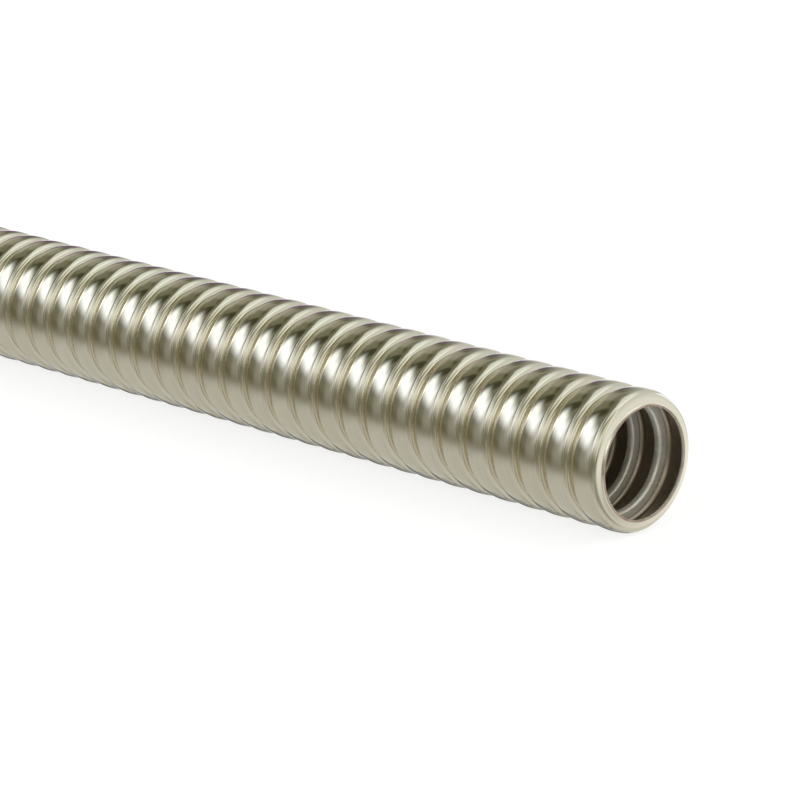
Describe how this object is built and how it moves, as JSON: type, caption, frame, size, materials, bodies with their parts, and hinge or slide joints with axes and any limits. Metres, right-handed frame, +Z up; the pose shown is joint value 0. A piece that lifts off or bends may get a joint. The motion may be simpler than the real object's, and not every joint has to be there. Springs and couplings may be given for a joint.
{
  "type": "corrugated stainless steel hose",
  "caption": "Straight cut length of thin-walled corrugated steel hose with ring-shaped corrugations, wide crests, narrow grooves and an open bore at both ends.",
  "frame": {"origin": "on the surface that the hose lies on, straight under the middle of the hose", "axes": "+X along the hose, towards the end that the picture shows; +Z up; the bore runs along X at a height of 8 mm"},
  "size_m": [0.12, 0.016, 0.016],
  "materials": {
    "stainless_steel": "bright drawn stainless steel, satin, with fine lines around the crests"
  },
  "bodies": {
    "root": {"corrugated_hose": "stainless_steel"}
  },
  "joints": []
}
